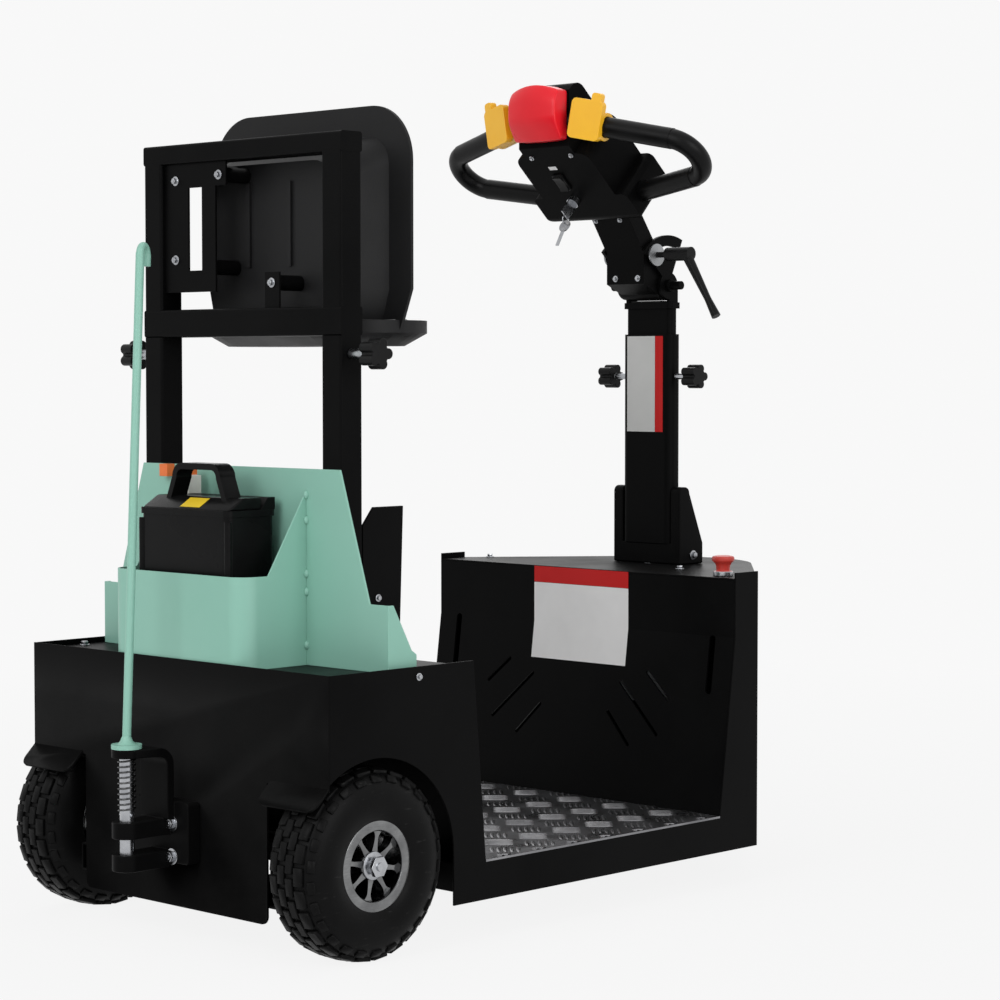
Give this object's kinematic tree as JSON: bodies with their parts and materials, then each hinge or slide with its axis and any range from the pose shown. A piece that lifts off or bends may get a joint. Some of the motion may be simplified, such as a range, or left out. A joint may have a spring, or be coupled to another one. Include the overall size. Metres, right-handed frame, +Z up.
{
  "type": "electric tow tractor",
  "caption": "Compact electric tow tractor with a folded sheet body, chequer-plate deck, lift-out battery, perch seat, tilting tiller and a sprung tow pin.",
  "frame": {"origin": "on the floor under the middle of the whole machine", "axes": "+X forward, from the tow pin to the drive wheel; +Y to the driver's left; +Z up"},
  "size_m": [1.282, 0.652, 1.2416],
  "materials": {
    "black_paint": "satin powder coat",
    "mint_paint": "satin powder coat",
    "chequer_plate": "five-bar chequer, mill finish",
    "battery_plastic": "moulded, fine grain",
    "terminal_plastic": "moulded",
    "knob_plastic": "moulded",
    "red_plastic": "moulded",
    "seat_plastic": "grained moulding",
    "seat_vinyl": "grained vinyl",
    "motor_alloy": "cast",
    "zinc_steel": "bright zinc plate",
    "head_plastic": "moulded, fine grain",
    "grip_rubber": "soft grip",
    "yellow_plastic": "moulded",
    "tyre_rubber": "block tread",
    "drive_rubber": "solid tyre",
    "rim_alloy": "machined face"
  },
  "bodies": {
    "chassis": {"rear_panel": "black_paint", "side_frame_left": "black_paint", "side_frame_right": "black_paint", "rear_deck": "black_paint", "rear_wall": "black_paint", "chassis_frame": "black_paint", "rear_axle": "black_paint", "deck_plate": "chequer_plate", "bulkhead": "black_paint", "top_plate": "black_paint", "nose_cover": "black_paint", "battery_box": "mint_paint", "back_plate": "mint_paint", "battery": "battery_plastic", "battery_handle": "battery_plastic", "battery_terminals": "terminal_plastic", "seat_posts": "black_paint", "post_gussets": "black_paint", "seat_knobs": "knob_plastic", "hitch_bracket": "black_paint", "emergency_stop": "red_plastic"},
    "seat": {"seat_frame": "black_paint", "seat_plates": "black_paint", "seat_shell": "seat_plastic", "back_pad": "seat_vinyl", "perch_pad": "seat_vinyl"},
    "steering": {"column_base": "black_paint", "column_outer": "black_paint", "column_knobs": "knob_plastic", "drive_fork": "black_paint", "drive_motor": "motor_alloy"},
    "column": {"column_inner": "black_paint", "tilt_pin": "black_paint"},
    "head": {"head_arm": "black_paint", "clamp_lever": "knob_plastic", "head_housing": "head_plastic", "handle_left": "grip_rubber", "handle_right": "grip_rubber", "reverse_pad": "red_plastic", "throttle_levers": "yellow_plastic", "rocker_switch": "knob_plastic", "key_switch": "zinc_steel"},
    "drive_wheel": {"drive_tyre": "drive_rubber", "drive_hub": "motor_alloy"},
    "wheel_left": {"tyre_left": "tyre_rubber", "rim_left": "rim_alloy"},
    "wheel_right": {"tyre_right": "tyre_rubber", "rim_right": "rim_alloy"},
    "hitch_pin": {"tow_pin": "zinc_steel", "pull_rod": "mint_paint", "hitch_spring": "zinc_steel"}
  },
  "joints": [
    {"name": "steer", "type": "hinge", "parent": "chassis", "child": "steering", "pos_m": [0.476, 0, 0.474], "axis": [0, 0, 1], "range_deg": [-60, 60]},
    {"name": "drive_spin", "type": "hinge", "parent": "steering", "child": "drive_wheel", "pos_m": [0.476, 0, 0.115], "axis": [0, 1, 0], "continuous": true},
    {"name": "column_slide", "type": "slide", "parent": "steering", "child": "column", "axis": [0, 0, 1], "range_m": [-0.03, 0.09]},
    {"name": "head_tilt", "type": "hinge", "parent": "column", "child": "head", "pos_m": [0.464, 0, 0.93], "axis": [0, 1, 0], "range_deg": [0, 40]},
    {"name": "seat_slide", "type": "slide", "parent": "chassis", "child": "seat", "axis": [0, 0, 1], "range_m": [0, 0.12]},
    {"name": "hitch_lift", "type": "slide", "parent": "chassis", "child": "hitch_pin", "axis": [0, 0, 1], "range_m": [0, 0.045], "stiffness_N_per_m": 600, "springref_m": -0.03, "deforming": ["hitch_spring"]},
    {"name": "wheel_left_spin", "type": "hinge", "parent": "chassis", "child": "wheel_left", "pos_m": [-0.451, 0.28, 0.131], "axis": [0, 1, 0], "continuous": true},
    {"name": "wheel_right_spin", "type": "hinge", "parent": "chassis", "child": "wheel_right", "pos_m": [-0.451, -0.28, 0.131], "axis": [0, 1, 0], "continuous": true}
  ]
}
